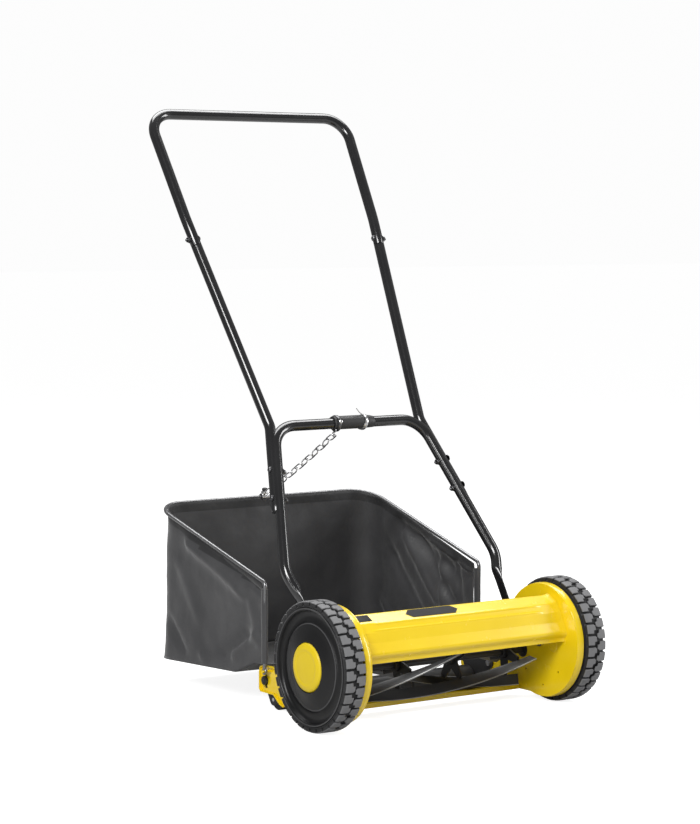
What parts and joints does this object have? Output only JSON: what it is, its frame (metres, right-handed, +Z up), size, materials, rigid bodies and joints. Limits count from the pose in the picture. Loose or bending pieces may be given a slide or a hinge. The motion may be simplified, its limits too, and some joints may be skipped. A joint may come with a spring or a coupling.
{
  "type": "reel mower",
  "caption": "Push reel mower: helical reel driven by its two wheels, bed knife, rear ground roller, tubular handle and a fabric grass catcher hung from a chain.",
  "frame": {"origin": "on the ground under the middle of the whole mower's box", "axes": "+Z up, -Y the way the mower is pushed, +X towards the mower's left when stood behind it; the wheels' axle line is parallel to X"},
  "size_m": [0.6436, 0.832, 1.1946],
  "materials": {
    "yellow_enamel": "glossy yellow enamel on pressed steel",
    "black_enamel": "glossy black enamel on steel tube and rod",
    "blade_steel": "black painted steel with bright ground edges",
    "wheel_plastic": "satin black moulded plastic",
    "tyre_rubber": "matt black rubber",
    "cap_plastic": "smooth yellow plastic",
    "catcher_fabric": "dark grey coated woven cloth",
    "soft_black_plastic": "plain black plastic",
    "zinc_plated_steel": "zinc plated steel"
  },
  "bodies": {
    "frame": {"front_cover": "yellow_enamel", "cover_badge": "soft_black_plastic", "bed_knife_bar": "yellow_enamel", "bed_knife": "blade_steel", "lower_handle": "black_enamel", "upper_handle": "black_enamel", "crossbar_sleeve": "soft_black_plastic", "chain_hook": "zinc_plated_steel", "side_plate_left": "yellow_enamel", "middle_tube_left": "black_enamel", "wheel_axle_left": "zinc_plated_steel", "axle_nut_left": "zinc_plated_steel", "reel_bush_left": "soft_black_plastic", "adjuster_pivot_left": "zinc_plated_steel", "joint_bolt_left": "zinc_plated_steel", "side_plate_right": "yellow_enamel", "middle_tube_right": "black_enamel", "wheel_axle_right": "zinc_plated_steel", "axle_nut_right": "zinc_plated_steel", "reel_bush_right": "soft_black_plastic", "adjuster_pivot_right": "zinc_plated_steel", "joint_bolt_right": "zinc_plated_steel", "foot_bolt_left_1": "zinc_plated_steel", "leg_bolt_left_1": "zinc_plated_steel", "foot_bolt_left_2": "zinc_plated_steel", "leg_bolt_left_2": "zinc_plated_steel", "foot_bolt_right_1": "zinc_plated_steel", "leg_bolt_right_1": "zinc_plated_steel", "foot_bolt_right_2": "zinc_plated_steel", "leg_bolt_right_2": "zinc_plated_steel"},
    "reel": {"reel_shaft": "zinc_plated_steel", "reel_blade_1": "blade_steel", "reel_blade_2": "blade_steel", "reel_blade_3": "blade_steel", "reel_blade_4": "blade_steel", "reel_blade_5": "blade_steel", "reel_spider_1": "blade_steel", "reel_spider_2": "blade_steel", "reel_spider_3": "blade_steel", "reel_spider_4": "blade_steel", "pinion_left": "zinc_plated_steel", "drive_key_left": "zinc_plated_steel", "pinion_right": "zinc_plated_steel", "drive_key_right": "zinc_plated_steel"},
    "wheel_left_body": {"wheel_left": "wheel_plastic", "tyre_left": "tyre_rubber", "hub_cap_left": "cap_plastic"},
    "wheel_right_body": {"wheel_right": "wheel_plastic", "tyre_right": "tyre_rubber", "hub_cap_right": "cap_plastic"},
    "height_adjuster": {"roller_bracket_left": "soft_black_plastic", "roller_bracket_right": "soft_black_plastic", "roller_axle": "zinc_plated_steel", "height_knob_left": "soft_black_plastic", "height_knob_right": "soft_black_plastic"},
    "ground_roller": {"roller": "soft_black_plastic"},
    "grass_catcher": {"catcher_frame": "black_enamel", "catcher_bag": "catcher_fabric", "chain_clip": "soft_black_plastic"},
    "support_chain": {"chain": "zinc_plated_steel"}
  },
  "joints": [
    {"name": "reel_spin", "type": "hinge", "parent": "frame", "child": "reel", "pos_m": [0, -0.231, 0.098], "axis": [1, 0, 0], "continuous": true},
    {"name": "wheel_left_spin", "type": "hinge", "parent": "frame", "child": "wheel_left_body", "pos_m": [-0.29, -0.291, 0.125], "axis": [1, 0, 0], "continuous": true},
    {"name": "wheel_right_spin", "type": "hinge", "parent": "frame", "child": "wheel_right_body", "pos_m": [0.29, -0.291, 0.125], "axis": [1, 0, 0], "continuous": true},
    {"name": "height_adjust", "type": "hinge", "parent": "frame", "child": "height_adjuster", "pos_m": [0, -0.126, 0.055], "axis": [1, 0, 0], "range_deg": [-8, 8]},
    {"name": "roller_spin", "type": "hinge", "parent": "height_adjuster", "child": "ground_roller", "pos_m": [0, -0.066, 0.022], "axis": [1, 0, 0], "continuous": true},
    {"name": "catcher_lift", "type": "hinge", "parent": "frame", "child": "grass_catcher", "pos_m": [0, -0.063, 0.079], "axis": [1, 0, 0], "range_deg": [0, 15]},
    {"name": "chain_swing", "type": "hinge", "parent": "frame", "child": "support_chain", "pos_m": [-0.034, 0.03108, 0.5291], "axis": [1, 0, 0], "range_deg": [-45, 0]}
  ],
  "couplings": [
    {"joint": "wheel_left_spin", "follows": "reel_spin", "ratio": 0.25},
    {"joint": "wheel_right_spin", "follows": "reel_spin", "ratio": 0.25},
    {"joint": "chain_swing", "follows": "catcher_lift", "ratio": -3}
  ]
}
